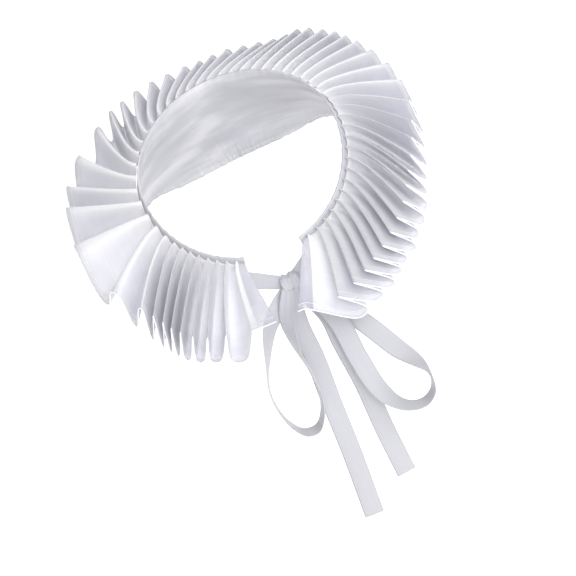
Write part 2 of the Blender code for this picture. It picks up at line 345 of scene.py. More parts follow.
def multiplied(tree, first, second):
    """The product of two colours."""
    made = tree.nodes.new("ShaderNodeMix")
    made.data_type = "RGBA"
    made.blend_type = "MULTIPLY"
    made.inputs["Factor"].default_value = 1.0
    colours = [socket for socket in made.inputs if socket.type == "RGBA"]
    tree.links.new(first, colours[0])
    tree.links.new(second, colours[1])
    return [socket for socket in made.outputs if socket.type == "RGBA"][0]


def mapped(tree, source, first, last):
    """A number that runs from one (input, output) pair to another."""
    made = tree.nodes.new("ShaderNodeMapRange")
    for slot, value in enumerate((first[0], last[0], first[1], last[1]), start=1):
        made.inputs[slot].default_value = value
    tree.links.new(source, made.inputs[0])
    return made.outputs[0]


def bump_node(tree, height, strength, distance, before=None):
    """A bump node, chained after another one where that is given."""
    bump = tree.nodes.new("ShaderNodeBump")
    bump.inputs["Strength"].default_value = strength
    bump.inputs["Distance"].default_value = distance
    tree.links.new(height, bump.inputs["Height"])
    if before is not None:
        tree.links.new(before, bump.inputs["Normal"])
    return bump.outputs[0]


satin, tree, shader, weave = cloth_material(
    "neckband_satin", (0.70, 0.70, 0.73), 0.34, 0.1, 2600.0, 60 * MM, 11 * MM)
# The satin's streaks are partly paler and darker yarns and partly painted sheen: the broad pale
# streaks, which are also the smoother ones, stand for the shine of the satin.
satin_tone_and_sheen = colour_ramp(tree, weave.outputs["Streaks"], (
    (0.3, (0.52, 0.52, 0.56)), (0.5, (0.59, 0.59, 0.635)), (0.7, (0.73, 0.73, 0.765))))
# Painted highlight: the satin is lighter along the top edge of the band, where light from above
# falls on its rim.
rim_highlight_mask = node(tree, "ShaderNodeAttribute", attribute_name="below")
painted_rim_highlight = colour_ramp(tree, rim_highlight_mask.outputs["Fac"], (
    (0.02, (1.0, 1.0, 1.0)), (0.09, (0.81, 0.81, 0.81))))
tree.links.new(multiplied(tree, satin_tone_and_sheen, painted_rim_highlight), shader.inputs["Base Color"])
satin_rough = mapped(tree, weave.outputs["Streaks"], (0.3, 0.42), (0.7, 0.30))
tree.links.new(satin_rough, shader.inputs["Roughness"])
satin_streaks = bump_node(tree, weave.outputs["Streaks"], 0.25, 0.4 * MM)
satin_threads = bump_node(tree, weave.outputs["Threads"], 0.15, 0.05 * MM, satin_streaks)
tree.links.new(satin_threads, shader.inputs["Normal"])

band_angles = [float(angle) for angle in np.linspace(BAND_LEFT_END, BAND_RIGHT_END, BAND_COLUMNS)]
band_frames = [(neck_point(a), band_fall(a), band_outside(a)) for a in band_angles]
band_heights = [table_value(BAND_TABLE, "height", abs(a)) * MM for a in band_angles]
band_rows = []
band_uvs = []
for row in range(BAND_ROWS + 1):
    points = []
    uvs = []
    for angle, height, (top, fall, outside) in zip(band_angles, band_heights, band_frames):
        below = height * row / BAND_ROWS
        points.append(top + fall * below - outside * band_inward(angle, below, height))
        uvs.append((math.radians(angle) * NECK_HALF_WIDTH, below))
    band_rows.append(points)
    band_uvs.append(uvs)
neckband = cloth_object("satin_neckband", band_rows, BAND_CLOTH, satin, band_uvs, {
    "below": [[row / BAND_ROWS] * BAND_COLUMNS for row in range(BAND_ROWS + 1)]})
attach(neckband, "root")
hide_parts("neckband")


# Stitches of the neckband
# White running stitches hold its lower edge where it is turned in. Each one is a short rounded
# stroke of thread that lies on the inside of the satin, 2.6 mm above the edge.

STITCH_LENGTH = 1.9 * MM
STITCH_SPACE = 2.9 * MM
THREAD_RADIUS = 0.16 * MM
THREAD_TWIST = 900.0
EDGE_STITCHES_ABOVE = 2.6 * MM


def path_object(name, points):
    """A curve through points, for a tree to build on."""
    curve = bpy.data.curves.new(name, "CURVE")
    curve.dimensions = "3D"
    spline = curve.splines.new("POLY")
    spline.points.add(len(points) - 1)
    for target, point in zip(spline.points, points):
        target.co = (*point, 1.0)
    thing = bpy.data.objects.new(name, curve)
    bpy.context.scene.collection.objects.link(thing)
    return thing


def geometry_tree(name, inputs):
    """An empty geometry tree with named inputs."""
    made = bpy.data.node_groups.new(name, "GeometryNodeTree")
    made.interface.new_socket("Geometry", in_out="INPUT", socket_type="NodeSocketGeometry")
    for label, kind in inputs.items():
        made.interface.new_socket(label, in_out="INPUT", socket_type=kind)
    made.interface.new_socket("Geometry", in_out="OUTPUT", socket_type="NodeSocketGeometry")
    return made, made.nodes.new("NodeGroupInput"), made.nodes.new("NodeGroupOutput")


def grown_piece(source, made, values):
    """The plain mesh that a tree grows from a path, in a new object with the path's name."""
    grow = source.modifiers.new("Grow", "NODES")
    grow.node_group = made
    for item in made.interface.items_tree:
        if item.in_out == "INPUT" and item.name in values:
            grow[item.identifier] = values[item.name]
    graph = bpy.context.evaluated_depsgraph_get()
    mesh = bpy.data.meshes.new_from_object(source.evaluated_get(graph))
    name = source.name
    bpy.data.objects.remove(source)
    mesh.name = name
    mesh.shade_smooth()
    thing = bpy.data.objects.new(name, mesh)
    bpy.context.scene.collection.objects.link(thing)
    return thing


# A row of stitches along a path: a stroke of thread, set at even spaces and turned along the path.
stitch_tree, stitch_in, stitch_out = geometry_tree("running_stitches", {
    "Space": "NodeSocketFloat", "Length": "NodeSocketFloat", "Radius": "NodeSocketFloat",
    "Thread": "NodeSocketMaterial"})
along = stitch_tree.nodes.new("GeometryNodeCurveToPoints")
along.mode = "LENGTH"
stroke = node(stitch_tree, "GeometryNodeMeshUVSphere", in_Segments=6, in_Rings=5)
stroke_size = stitch_tree.nodes.new("ShaderNodeCombineXYZ")
stretched = stitch_tree.nodes.new("GeometryNodeTransform")
placed = stitch_tree.nodes.new("GeometryNodeInstanceOnPoints")
real = stitch_tree.nodes.new("GeometryNodeRealizeInstances")
painted = stitch_tree.nodes.new("GeometryNodeSetMaterial")
link = stitch_tree.links.new
link(stitch_in.outputs["Geometry"], along.inputs["Curve"])
link(stitch_in.outputs["Space"], along.inputs["Length"])
half_length = math_node(stitch_tree, "MULTIPLY", stitch_in.outputs["Length"], 0.5)
link(stitch_in.outputs["Radius"], stroke_size.inputs[0])
link(stitch_in.outputs["Radius"], stroke_size.inputs[1])
link(half_length, stroke_size.inputs[2])
link(stroke.outputs["Mesh"], stretched.inputs["Geometry"])
link(stroke_size.outputs[0], stretched.inputs["Scale"])
link(along.outputs["Points"], placed.inputs["Points"])
link(along.outputs["Rotation"], placed.inputs["Rotation"])
link(stretched.outputs["Geometry"], placed.inputs["Instance"])
link(placed.outputs["Instances"], real.inputs["Geometry"])
link(real.outputs["Geometry"], painted.inputs["Geometry"])
link(stitch_in.outputs["Thread"], painted.inputs["Material"])
link(painted.outputs["Geometry"], stitch_out.inputs["Geometry"])

thread, tree, shader = plain_material("sewing_thread", (0.90, 0.90, 0.91), 0.5, 0.2)
places = tree.nodes.new("ShaderNodeTexCoord")
twist = node(
    tree, "ShaderNodeTexWave", bands_direction="DIAGONAL", in_Scale=THREAD_TWIST, in_Distortion=1.0)
tree.links.new(places.outputs["Object"], twist.inputs["Vector"])
thread_tone = colour_ramp(tree, twist.outputs["Fac"], (
    (0.1, (0.80, 0.80, 0.83)), (0.8, (0.94, 0.94, 0.95))))
tree.links.new(thread_tone, shader.inputs["Base Color"])
tree.links.new(bump_node(tree, twist.outputs["Fac"], 0.4, 0.05 * MM), shader.inputs["Normal"])

edge_path = []
for angle, height, (top, fall, outside) in zip(band_angles, band_heights, band_frames):
    below = height - EDGE_STITCHES_ABOVE
    inward = band_inward(angle, below, height) + BAND_CLOTH / 2
    edge_path.append(top + fall * below - outside * inward)
edge_stitches = grown_piece(path_object("neckband_edge_stitches", edge_path), stitch_tree, {
    "Space": STITCH_SPACE, "Length": STITCH_LENGTH, "Radius": THREAD_RADIUS, "Thread": thread})
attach(edge_stitches, "root")


# Ruffle
# One long straight strip of sheer organza, folded in deep organ pleats. The folds are sewn to the
# outside of the neckband, and at the hem they stand open. The strip starts at the left front end of
# the neckband and runs round the back to the right one.

PLEATS = 52
RUFFLE_WIDTH = 50.5 * MM
RUFFLE_CLOTH = 0.3 * MM
RUFFLE_BELOW_EDGE = 1.0 * MM
RUFFLE_END_SETBACK = 1.5
SEAM_CLEARANCE = 1.05 * MM
SEAM_STAND = 3.0 * MM
SEAM_LAY = 1.0 * MM
SEAM_STRAIGHT = 0.2
RUFFLE_ROWS = 22
RUFFLE_ROW_POWER = 1.15
UNEVEN_SEED = 7
UNEVEN_SWIRL = 1.0
UNEVEN_DEPTH = 0.07

# How far along a pleat's pitch each point of a fold is, and how high: 1 is on the upper fold and
# -1 on the lower one. The upper fold is creased sharply and the lower one swells to its neighbours.
FoldPoint = namedtuple("FoldPoint", "share height")
FOLD_RISE = [
    FoldPoint(0.0, -1.0),
    FoldPoint(0.09, -0.985),
    FoldPoint(0.17, -0.955),
    FoldPoint(0.24, -0.905),
    FoldPoint(0.295, -0.83),
    FoldPoint(0.34, -0.72),
    FoldPoint(0.375, -0.57),
    FoldPoint(0.4, -0.39),
    FoldPoint(0.42, -0.19),
    FoldPoint(0.436, 0.02),
    FoldPoint(0.45, 0.23),
    FoldPoint(0.462, 0.44),
    FoldPoint(0.473, 0.64),
    FoldPoint(0.483, 0.81),
    FoldPoint(0.492, 0.93),
]
FOLD_TOP = FoldPoint(0.5, 1.0)

# Behind the shoulders the upper folds are as round as the lower ones: how round they are, from 0 to
# 1, at an angle round the neck.
Roundness = namedtuple("Roundness", "angle share")
ROUND_FOLDS = [Roundness(-135, 0), Roundness(-112, 1), Roundness(75, 1), Roundness(115, 0)]
ROUND_POWER = 2.6

# How many degrees of the neckband a pleat takes, where its upper fold points, and where its lower
# fold is from the upper one at the hem. Swirl turns a fold clockwise from straight out, and lift
# raises it above the ring, in degrees. Lay is how far the lower fold lies over, counterclockwise,
# stand is how far it is below, and flare how much farther out it reaches, in millimetres.
RuffleRow = namedtuple("RuffleRow", "angle pitch swirl lift lay stand flare")
RUFFLE_TABLE = [
    RuffleRow(-157, 5.1, -22, -1, -9, 29, 0),
    RuffleRow(-153, 5.1, -17, -3, -9, 29, 0),
    RuffleRow(-148, 5.1, -11, -6, -9, 29, 0),
    RuffleRow(-141, 5.1, -9, -12, -9, 29, 0),
    RuffleRow(-122, 5.3, -22, -6, -6, 30, 0),
    RuffleRow(-112, 7.4, -29, -2, -6, 29, 0),
    RuffleRow(-104, 8.4, -18, -2, -3, 28, 0),
    RuffleRow(-97, 9, 12, -4, 0, 26, 2),
    RuffleRow(-89, 9, 25, -4, 1, 26, 2),
    RuffleRow(-76, 8.6, 29, -10, 1, 26, 3),
    RuffleRow(-66, 8, 44, -12, 1, 27, 4),
    RuffleRow(-55, 7.2, 48, -15, 1, 28, 5),
    RuffleRow(-42, 6.5, 45, -22, 1, 28, 8),
    RuffleRow(-22, 6.5, 47, -28, 3, 28, 8),
    RuffleRow(0, 6.5, 42, -30, 6, 28, 8),
    RuffleRow(15, 6.5, 38, -29, 6, 28, 8),
    RuffleRow(30, 6.3, 25, -22, 6, 28, 6),
    RuffleRow(45, 6.1, 17, -20, 5, 29, 6),
    RuffleRow(60, 6, 9, -20, 3, 29, 4),
    RuffleRow(70, 6, 14, -18, 2, 29, 0),
    RuffleRow(80, 6, 31, -10, 2, 29, 0),
    RuffleRow(93, 6, 43, -3, 4, 29, 0),
    RuffleRow(110, 6, 45, 0, 8, 28, 0),
    RuffleRow(125, 6, 42, -2, 11, 26, 0),
    RuffleRow(140, 6, 37, -1, 14, 24, 0),
    RuffleRow(156, 6, 31, -4, 16, 20, 0),
    RuffleRow(169, 6, 33, -14, 17, 17, 0),
]

# At each front edge the raw end of the strip lies nearly flat instead of in a lower fold. It is
# single cloth, with no fold over it, for a share of a pleat.
RawEnd = namedtuple("RawEnd", "lay stand")
RAW_END_SHARE = 0.45
LEFT_RAW_END = RawEnd(6.5, -6)
RIGHT_RAW_END = RawEnd(-7, -12)

# Small uneven moves of the cloth: panels sway with their neighbours, and ripples that start in the
# gathers of the seam run out along the panels. The folds open fastest next to the seam.
Sway = namedtuple("Sway", "waves seed")
SWAY = 0.9 * MM
SWAY_PITCH = 7 * MM
SIDE_SWAY = Sway((23 * MM, 37 * MM, 61 * MM), 11)
DOWN_SWAY = Sway((19 * MM, 43 * MM), 12)
RIPPLE = 0.45 * MM
RIPPLE_COUNT = 5
OPENING_POWER = 0.66


def pleat_columns():
    """The columns of the strip, as (place in pleats, height of the fold)."""
    columns = []
    for pleat in range(PLEATS):
        columns += [(pleat + point.share, point.height) for point in FOLD_RISE]
        columns.append((pleat + FOLD_TOP.share, FOLD_TOP.height))
        columns += [(pleat + 1 - point.share, point.height) for point in reversed(FOLD_RISE[1:])]
    columns.append((PLEATS, FOLD_RISE[0].height))
    return columns


def single_cloth(place):
    """1 where the cloth is a raw end with no fold over it, and else 0."""
    return 1.0 if min(place, PLEATS - place) < RAW_END_SHARE else 0.0


def fold_height(place, height, angle):
    """The height of a fold at a place in pleats, rounder behind the shoulders."""
    share = min(place % 1, 1 - place % 1)
    from_side = 4 * share - 1
    rounded = math.copysign(1 - (1 - abs(from_side)) ** ROUND_POWER, from_side)
    angles, shares = zip(*ROUND_FOLDS)
    return height + (rounded - height) * float(np.interp(angle, angles, shares))


def ruffle_column(angle, height, place, swirl_more, depth_more):
    """A function that gives the points of one column of the ruffle, from seam to hem."""
    lower = (1 - height) / 2
    seam_angle = angle - math.degrees(SEAM_LAY * lower / NECK_HALF_WIDTH)
    out_of_band = band_outside(seam_angle)
    seam = band_point(seam_angle, RUFFLE_BELOW_EDGE + SEAM_STAND * lower)
    seat = seam + out_of_band * SEAM_CLEARANCE
    clockwise, outward, down = ring_axes(angle)
    swirl = math.radians(table_value(RUFFLE_TABLE, "swirl", angle) + swirl_more)
    lift = math.radians(table_value(RUFFLE_TABLE, "lift", angle))
    level = outward * math.cos(swirl) + clockwise * math.sin(swirl)
    reach = level * math.cos(lift) - down * math.sin(lift)
    side = outward * math.sin(swirl) - clockwise * math.cos(swirl)
    elbow = out_of_band * (SEAM_STRAIGHT * RUFFLE_WIDTH)
    lay, stand, flare = (
        table_value(RUFFLE_TABLE, column, angle) * MM for column in ("lay", "stand", "flare"))
    if place < FOLD_TOP.share:
        lay, stand, flare = LEFT_RAW_END.lay * MM, LEFT_RAW_END.stand * MM, 0.0
    elif place > PLEATS - FOLD_TOP.share:
        lay, stand, flare = RIGHT_RAW_END.lay * MM, RIGHT_RAW_END.stand * MM, 0.0
    fold = side * lay + down * stand + level * flare
    sway_side, sway_down = (
        SWAY * wave(place * SWAY_PITCH, sway.waves, sway.seed) for sway in (SIDE_SWAY, DOWN_SWAY))
    ripple = RIPPLE * math.sin(math.pi * RIPPLE_COUNT * height) * (1 - abs(height))

    def point(out):
        run = elbow * (2 * out * (1 - out)) + reach * (RUFFLE_WIDTH * out * out)
        sway = (side * sway_side + down * sway_down) * (out * out)
        rippled = side * (ripple * math.sin(math.pi * out))
        return seat + run + fold * (depth_more * lower * out ** OPENING_POWER) + sway + rippled

    return point


organza, tree, shader, weave = cloth_material(
    "ruffle_organza", (0.93, 0.93, 0.955), 0.55, 0.25, 3000.0, 40 * MM, 1.1 * MM)
crease = node(tree, "ShaderNodeAttribute", attribute_name="fold")
outward_share = node(tree, "ShaderNodeAttribute", attribute_name="out")
# Painted light and shade: the cloth is whitest on the upper folds, where light catches the crease,
# and greyer toward the lower folds, where shade falls between the pleats.
painted_fold_light_and_shade = colour_ramp(tree, crease.outputs["Fac"], (
    (0.0, (0.94, 0.94, 0.975)), (0.5, (0.955, 0.955, 0.98)), (0.9, (0.965, 0.965, 0.985)),
    (0.985, (0.985, 0.985, 0.995))))
streak_tone = colour_ramp(tree, weave.outputs["Streaks"], (
    (0.3, (0.965, 0.965, 0.975)), (0.7, (1.0, 1.0, 1.0))))
# Painted shade: the cloth turns grey and lilac toward the hem, where the open folds are hollow and
# in shade, and it is whitest at the seam.
painted_hem_shade = colour_ramp(tree, outward_share.outputs["Fac"], (
    (0.0, (1.0, 1.0, 1.0)), (0.45, (0.95, 0.95, 0.97)), (1.0, (0.78, 0.78, 0.835))))
# Painted shade: the raw ends, single cloth with no fold over them, are painted greyer. The
# organza's colour is its streak tone times the painted light and shade of the folds, the hem and
# the raw ends.
single = node(tree, "ShaderNodeAttribute", attribute_name="single")
painted_raw_end_shade = colour_ramp(tree, single.outputs["Fac"], (
    (0.0, (1.0, 1.0, 1.0)), (1.0, (0.74, 0.74, 0.785))))
organza_tone_and_shade = multiplied(
    tree, multiplied(tree, painted_fold_light_and_shade, streak_tone), multiplied(tree, painted_hem_shade, painted_raw_end_shade))
tree.links.new(organza_tone_and_shade, shader.inputs["Base Color"])
shader.inputs["Subsurface Weight"].default_value = 0.6
shader.inputs["Subsurface Radius"].default_value = (1.0, 1.0, 1.0)
shader.inputs["Subsurface Scale"].default_value = 2.0 * MM

# The cloth hides what is behind it where it lies in many layers, and lets it show at the hem, more
# so in the lower folds, and most of all at the raw ends.
cover_fold = mapped(tree, crease.outputs["Fac"], (0.0, 0.42), (1.0, 0.56))
cover_hem = mapped(tree, outward_share.outputs["Fac"], (0.78, 0.58), (1.0, 0.30))
cover = math_node(tree, "MINIMUM", math_node(tree, "ADD", cover_fold, cover_hem), 1.0)
uncovered = math_node(tree, "MULTIPLY", single.outputs["Fac"], 0.32)
tree.links.new(math_node(tree, "SUBTRACT", cover, uncovered), shader.inputs["Alpha"])
organza_streaks = bump_node(tree, weave.outputs["Streaks"], 0.3, 0.15 * MM)
organza_threads = bump_node(tree, weave.outputs["Threads"], 0.2, 0.04 * MM, organza_streaks)
tree.links.new(organza_threads, shader.inputs["Normal"])

pleat_edges = [BAND_LEFT_END + RUFFLE_END_SETBACK]
for pleat in range(PLEATS):
    pleat_edges.append(pleat_edges[-1] + table_value(RUFFLE_TABLE, "pitch", pleat_edges[-1]))
pleat_edges = np.interp(
    pleat_edges, (pleat_edges[0], pleat_edges[-1]),
    (pleat_edges[0], BAND_RIGHT_END - RUFFLE_END_SETBACK))
chance = np.random.RandomState(UNEVEN_SEED)
swirls = chance.uniform(-UNEVEN_SWIRL, UNEVEN_SWIRL, PLEATS + 1)
depths = 1 + chance.uniform(-UNEVEN_DEPTH, UNEVEN_DEPTH, PLEATS + 1)
columns = []
for place, height in pleat_columns():
    angle, swirl_more, depth_more = (
        float(np.interp(place, range(PLEATS + 1), at_edges))
        for at_edges in (pleat_edges, swirls, depths))
    height = fold_height(place, height, angle)
    column = ruffle_column(angle, height, place, swirl_more, depth_more)
    columns.append((column, (height + 1) / 2))
outs = [(row / RUFFLE_ROWS) ** RUFFLE_ROW_POWER for row in range(RUFFLE_ROWS + 1)]
ruffle_rows = [[column(out) for column, fold in columns] for out in outs]
hem_along = [0.0]
for a, b in zip(ruffle_rows[-1], ruffle_rows[-1][1:]):
    hem_along.append(hem_along[-1] + (b - a).length)
ruffle = cloth_object(
    "organza_ruffle", ruffle_rows, RUFFLE_CLOTH, organza,
    [[(along_strip, out * RUFFLE_WIDTH) for along_strip in hem_along] for out in outs],
    {"fold": [[fold for column, fold in columns]] * len(outs),
     "out": [[out] * len(columns) for out in outs],
     "single": [[single_cloth(place) for place, height in pleat_columns()]] * len(outs)})
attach(ruffle, "root")
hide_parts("ruffle")


# Hem of the ruffle
# The outer edge of the strip is a narrow rolled hem, which shows as a white line along every fold,
# with a line of machine stitches beside it.

HEM_RADIUS = 0.42 * MM
HEM_STITCH_RADIUS = 0.2 * MM
HEM_STITCH_OUT = 0.955
HEM_MARKS = 260.0

# A round cord of cloth or thread along a path.
roll_tree, roll_in, roll_out = geometry_tree("rolled_edge", {
    "Radius": "NodeSocketFloat", "Cloth": "NodeSocketMaterial"})
circle = node(roll_tree, "GeometryNodeCurvePrimitiveCircle", in_Resolution=6)
tube = node(roll_tree, "GeometryNodeCurveToMesh", in_Fill_Caps=True)
real = roll_tree.nodes.new("GeometryNodeRealizeInstances")
painted = roll_tree.nodes.new("GeometryNodeSetMaterial")
link = roll_tree.links.new
link(roll_in.outputs["Geometry"], tube.inputs["Curve"])
link(roll_in.outputs["Radius"], circle.inputs["Radius"])
link(circle.outputs["Curve"], tube.inputs["Profile Curve"])
link(tube.outputs["Mesh"], real.inputs["Geometry"])
link(real.outputs["Geometry"], painted.inputs["Geometry"])
link(roll_in.outputs["Cloth"], painted.inputs["Material"])
link(painted.outputs["Geometry"], roll_out.inputs["Geometry"])

hem_cloth, tree, shader = plain_material("rolled_organza", (0.8, 0.8, 0.8), 0.5, 0.2)
places = tree.nodes.new("ShaderNodeTexCoord")
rolled = node(tree, "ShaderNodeTexNoise", in_Scale=HEM_MARKS, in_Detail=2.0)
tree.links.new(places.outputs["Object"], rolled.inputs["Vector"])
rolled_tone = colour_ramp(tree, rolled.outputs[0], (
    (0.35, (0.90, 0.90, 0.925)), (0.6, (0.97, 0.97, 0.98))))
tree.links.new(rolled_tone, shader.inputs["Base Color"])
tree.links.new(bump_node(tree, rolled.outputs[0], 0.3, 0.1 * MM), shader.inputs["Normal"])

hem = grown_piece(path_object("ruffle_rolled_hem", ruffle_rows[-1]), roll_tree, {
    "Radius": HEM_RADIUS, "Cloth": hem_cloth})
stitch_line = [column(HEM_STITCH_OUT) for column, fold in columns]
hem_stitches = grown_piece(path_object("ruffle_hem_stitches", stitch_line), roll_tree, {
    "Radius": HEM_STITCH_RADIUS, "Cloth": thread})
for piece in (hem, hem_stitches):
    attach(piece, "root")


# Ribbons
# The bow is tied in front of the throat in two lengths of narrow satin ribbon, one from each front
# end of the neckband. Each ribbon is a flat strip with woven edges, and it is gathered in small
# lengthwise folds where the knot grips it.

RIBBON_WIDTH = 12.4 * MM
RIBBON_CLOTH = 0.4 * MM
RIBBON_STEP = 1.4 * MM
RIBBON_LOOK_AHEAD = 1.25 * MM
RIBBON_ACROSS = 12
RIBBON_CROWN = 0.35 * MM
RIBBON_GATHERS = 2.5
RIBBON_GATHER_DEPTH = 0.75 * MM
RIBBON_COLOUR = (0.53, 0.53, 0.565)
KNOT_CENTRE = Vector((-5.2, -62.0, -63.4)) * MM
KNOT_SIZE = Vector((12.0, 9.0, 10.6)) * MM

# A row is a place on a ribbon's middle line, in millimetres to the right, in front of and below the
# origin. Turn is how far the ribbon is turned from facing the front, in degrees, and share is how
# much of its width is open.
Place = namedtuple("Place", "right front below turn share")
TAIL_LEFT = [
    Place(-6.2, 63.4, 65.5, 0, 0.7),
    Place(-9.5, 64.5, 78, 5, 0.9),
    Place(-12, 65.5, 93.5, 5, 1),
    Place(-12.1, 66.5, 115.1, 0, 1),
    Place(-14.8, 67.5, 147.9, -5, 1),
    Place(-17.2, 69, 184, -5, 1),
    Place(-21.6, 72, 229.7, 0, 1),
]
TAIL_RIGHT = [
    Place(-4.6, 60.6, 65.5, 0, 0.7),
    Place(3.3, 59.4, 84, 10, 0.95),
    Place(7, 60, 96.5, 10, 1),
    Place(7.2, 61.5, 116, 0, 1),
    Place(8.5, 63.5, 147.3, 0, 1),
    Place(7.7, 65.5, 180.4, 5, 1),
    Place(8.1, 68, 214.9, 5, 1),
]
LOOP_LEFT = [
    Place(-7.2, 62.0, 66.0, 0, 0.6),
    Place(-12.5, 61.6, 71, 5, 0.8),
    Place(-20.5, 62.5, 77.5, 10, 0.95),
    Place(-29.5, 65, 86, 35, 1),
    Place(-38.8, 69, 102.4, 65, 1),
    Place(-45.9, 72, 119, 82, 1),
    Place(-46.7, 74, 132.1, 88, 1),
    Place(-43.4, 76, 146, 90, 1),
    Place(-37, 77, 154.5, 90, 1),
    Place(-29.6, 77.5, 155, 90, 1),
    Place(-23, 77.5, 147.5, 90, 1),
    Place(-18.9, 76.5, 134.8, 88, 1),
    Place(-18.3, 75, 119.9, 84, 1),
    Place(-19.6, 72.5, 101.9, 74, 1),
    Place(-17.4, 68.5, 84, 45, 0.9),
    Place(-8.5, 64.2, 66.5, 0, 0.6),
]
LOOP_RIGHT = [
    Place(-4.6, 62.2, 66, 0, 0.65),
    Place(4.1, 63, 83, 5, 0.8),
    Place(10.5, 65.5, 99.1, 5, 1),
    Place(12.1, 69, 128, 5, 1),
    Place(15.5, 73, 152, 35, 1),
    Place(23, 75.5, 165.5, 70, 1),
    Place(31, 76.5, 170.8, 86, 1),
    Place(39, 77, 171, 90, 1),
    Place(45.8, 77, 165.5, 90, 1),
    Place(47.6, 76, 157, 84, 1),
    Place(44.6, 73.5, 147, 45, 1),
    Place(36.5, 70, 133.4, 8, 1),
    Place(25.2, 65, 110.7, 0, 1),
    Place(12.5, 61.5, 89.5, 0, 0.85),
    Place(4.2, 60.8, 77, 0, 0.7),
    Place(-2.6, 61.2, 66, 0, 0.6),
]

ribbon_satin, tree, shader, weave = cloth_material(
    "ribbon_satin", RIBBON_COLOUR, 0.42, 0.15, 3200.0, 60 * MM, 0.5 * MM)
rim = node(tree, "ShaderNodeAttribute", attribute_name="rim")
rim_tone = colour_ramp(tree, rim.outputs["Fac"], (
    (0.0, RIBBON_COLOUR), (0.86, RIBBON_COLOUR), (0.93, (0.46, 0.46, 0.50)),
    (1.0, (0.61, 0.61, 0.64))))
ribbon_tone = colour_ramp(tree, weave.outputs["Streaks"], (
    (0.3, (0.95, 0.95, 0.96)), (0.7, (1.0, 1.0, 1.0))))
tree.links.new(multiplied(tree, rim_tone, ribbon_tone), shader.inputs["Base Color"])
ribbon_threads = bump_node(tree, weave.outputs["Threads"], 0.25, 0.05 * MM)
tree.links.new(ribbon_threads, shader.inputs["Normal"])


def ribbon_strip(name, line, solid_node):
    """One ribbon from its line: a list of (middle, width direction, open share) along it."""
    acrosses = [2 * step / RIBBON_ACROSS - 1 for step in range(RIBBON_ACROSS + 1)]
    rows = []
    uvs = []
    run = 0.0
    for index, (middle, half, share) in enumerate(line):
        if index:
            run += (middle - line[index - 1][0]).length
        ahead = line[min(index + 1, len(line) - 1)][0] - line[max(index - 1, 0)][0]
        face = half.cross(ahead).normalized()
        gather = RIBBON_GATHER_DEPTH * (1 - share)
        points = []
        for across in acrosses:
            stand = RIBBON_CROWN * (1 - across * across) * share
            stand += gather * math.cos(across * math.pi * RIBBON_GATHERS)
            points.append(middle + half * (across * share) + face * stand)
        rows.append(points)
        uvs.append([(run, RIBBON_WIDTH * (across + 1) / 2) for across in acrosses])
    rims = [[abs(across) for across in acrosses]] * len(rows)
    piece = cloth_object(name, rows, RIBBON_CLOTH, ribbon_satin, uvs, {"rim": rims})
    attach(piece, "root")
    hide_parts(solid_node)


def ribbon_line(places):
    """The line of a ribbon through its places."""
    points = [Vector((place.right, -place.front, -place.below)) * MM for place in places]
    ends = [0.0, *np.cumsum([(b - a).length for a, b in zip(points, points[1:])])]

    def middle(at):
        return Vector([curve_value(ends, axis, at) for axis in zip(*points)])

    line = []
    for at in np.linspace(0, ends[-1], round(ends[-1] / RIBBON_STEP) + 1):
        before, after = max(at - RIBBON_LOOK_AHEAD, 0), min(at + RIBBON_LOOK_AHEAD, ends[-1])
        ahead = (middle(after) - middle(before)).normalized()
        level = ahead.cross(Vector((0, -1, 0))).normalized()
        turn = math.radians(curve_value(ends, [place.turn for place in places], at))
        share = curve_value(ends, [place.share for place in places], at)
        half = (level * math.cos(turn) + level.cross(ahead) * math.sin(turn)) * (RIBBON_WIDTH / 2)
        line.append((middle(at), half, share))
    return line


for solid_node, places in (
        ("tail_left", TAIL_LEFT), ("tail_right", TAIL_RIGHT),
        ("loop_left", LOOP_LEFT), ("loop_right", LOOP_RIGHT)):
    ribbon_strip("bow_" + solid_node, ribbon_line(places), solid_node)


# Ribbon leads
# The stretch of each ribbon between its front end of the neckband, where it is sewn on, and the
# side of the knot, where it is drawn in.

LEAD_BELOW_EDGE = 17 * MM
LEAD_GAP = 0.5 * MM
LEAD_IN_KNOT = 3.5 * MM
LEAD_KNOT_SHARE = 0.8
LEAD_LEAST_STEPS = 6


def lead_line(angle, toward_gap):
    """The line of a lead from the neckband's end at an angle to the knot."""
    clockwise = ring_axes(angle)[0]
    sewn = band_point(angle, LEAD_BELOW_EDGE) + clockwise * (toward_gap * LEAD_GAP)
    sewn_half = band_fall(angle) * (RIBBON_WIDTH / 2)
    gripped = KNOT_CENTRE + Vector((toward_gap * (KNOT_SIZE.x / 2 - LEAD_IN_KNOT), 0, 0))
    gripped_half = Vector((0, 0, -RIBBON_WIDTH / 2))
    line = []
    count = max(round((gripped - sewn).length / RIBBON_STEP), LEAD_LEAST_STEPS)
    for step in range(count + 1):
        t = step / count
        share = 1 + (LEAD_KNOT_SHARE - 1) * t * t * (3 - 2 * t)
        line.append((sewn.lerp(gripped, t), sewn_half.lerp(gripped_half, t), share))
    return line


ribbon_strip("bow_lead_left", lead_line(BAND_LEFT_END, -1), "lead_left")
ribbon_strip("bow_lead_right", lead_line(BAND_RIGHT_END, 1), "lead_right")


# Knot
# The ribbon wrapped once round the crossing of the bow, open at both sides where the loops and the
# leads go in. It is drawn tight, so it narrows a little in the middle and has upright creases.

KNOT_RINGS = 26
KNOT_ROUND = 44
KNOT_FIT = 0.94
KNOT_SHOULDER = 6
KNOT_ROUNDING = 0.3
KNOT_WAIST = 0.08
KNOT_CREASE = 0.45 * MM
KNOT_CREASES = 9
KNOT_CREASE_BEND = 0.8
KNOT_SQUARE = 0.62
KNOT_MOUTH = 0.72


def squared(share):
    """A sine or cosine drawn out toward the corners of a square."""
    return math.copysign(abs(share) ** KNOT_SQUARE, share)


